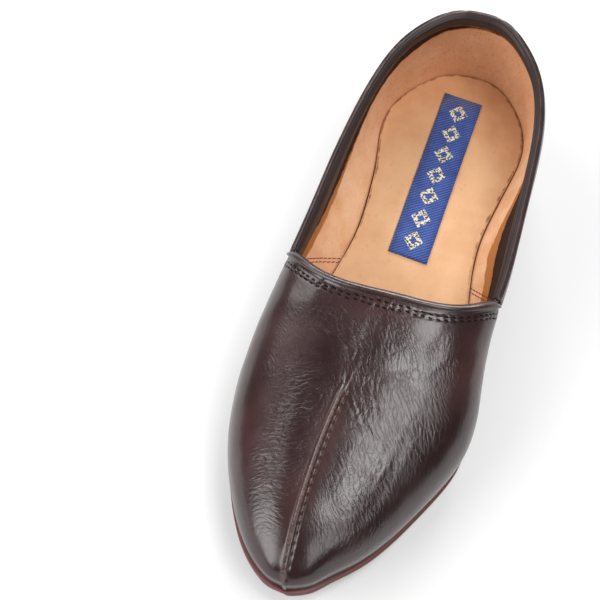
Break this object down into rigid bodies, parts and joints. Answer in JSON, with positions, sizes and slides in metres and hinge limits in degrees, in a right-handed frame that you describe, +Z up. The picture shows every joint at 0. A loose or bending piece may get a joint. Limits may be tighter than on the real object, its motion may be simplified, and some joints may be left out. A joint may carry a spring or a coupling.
{
  "type": "mojari",
  "caption": "Low leather slip-on shoe for the left foot with a pointed toe, a raised toe seam, a rolled throat edge, a bound topline and a flat sole with a low heel.",
  "frame": {"origin": "on the floor, under the middle of the shoe's box", "axes": "toe to -Y, heel to +Y, outer side of the foot to +X, +Z up"},
  "size_m": [0.1038, 0.284, 0.0618],
  "materials": {
    "outsole": "dark red-brown sole leather, painted side, satin",
    "heel": "dark red-brown, satin",
    "upper": "glossy dark brown outside, tan lining inside",
    "insole": "tan, fine grain, satin",
    "binding": "glossy dark brown",
    "woven_label": "blue diagonal twill, no lettering"
  },
  "bodies": {
    "root": {"outsole": "outsole", "heel": "heel", "upper": "upper", "insole": "insole", "throat_binding": "binding", "topline_binding": "binding", "woven_label": "woven_label"}
  },
  "joints": []
}
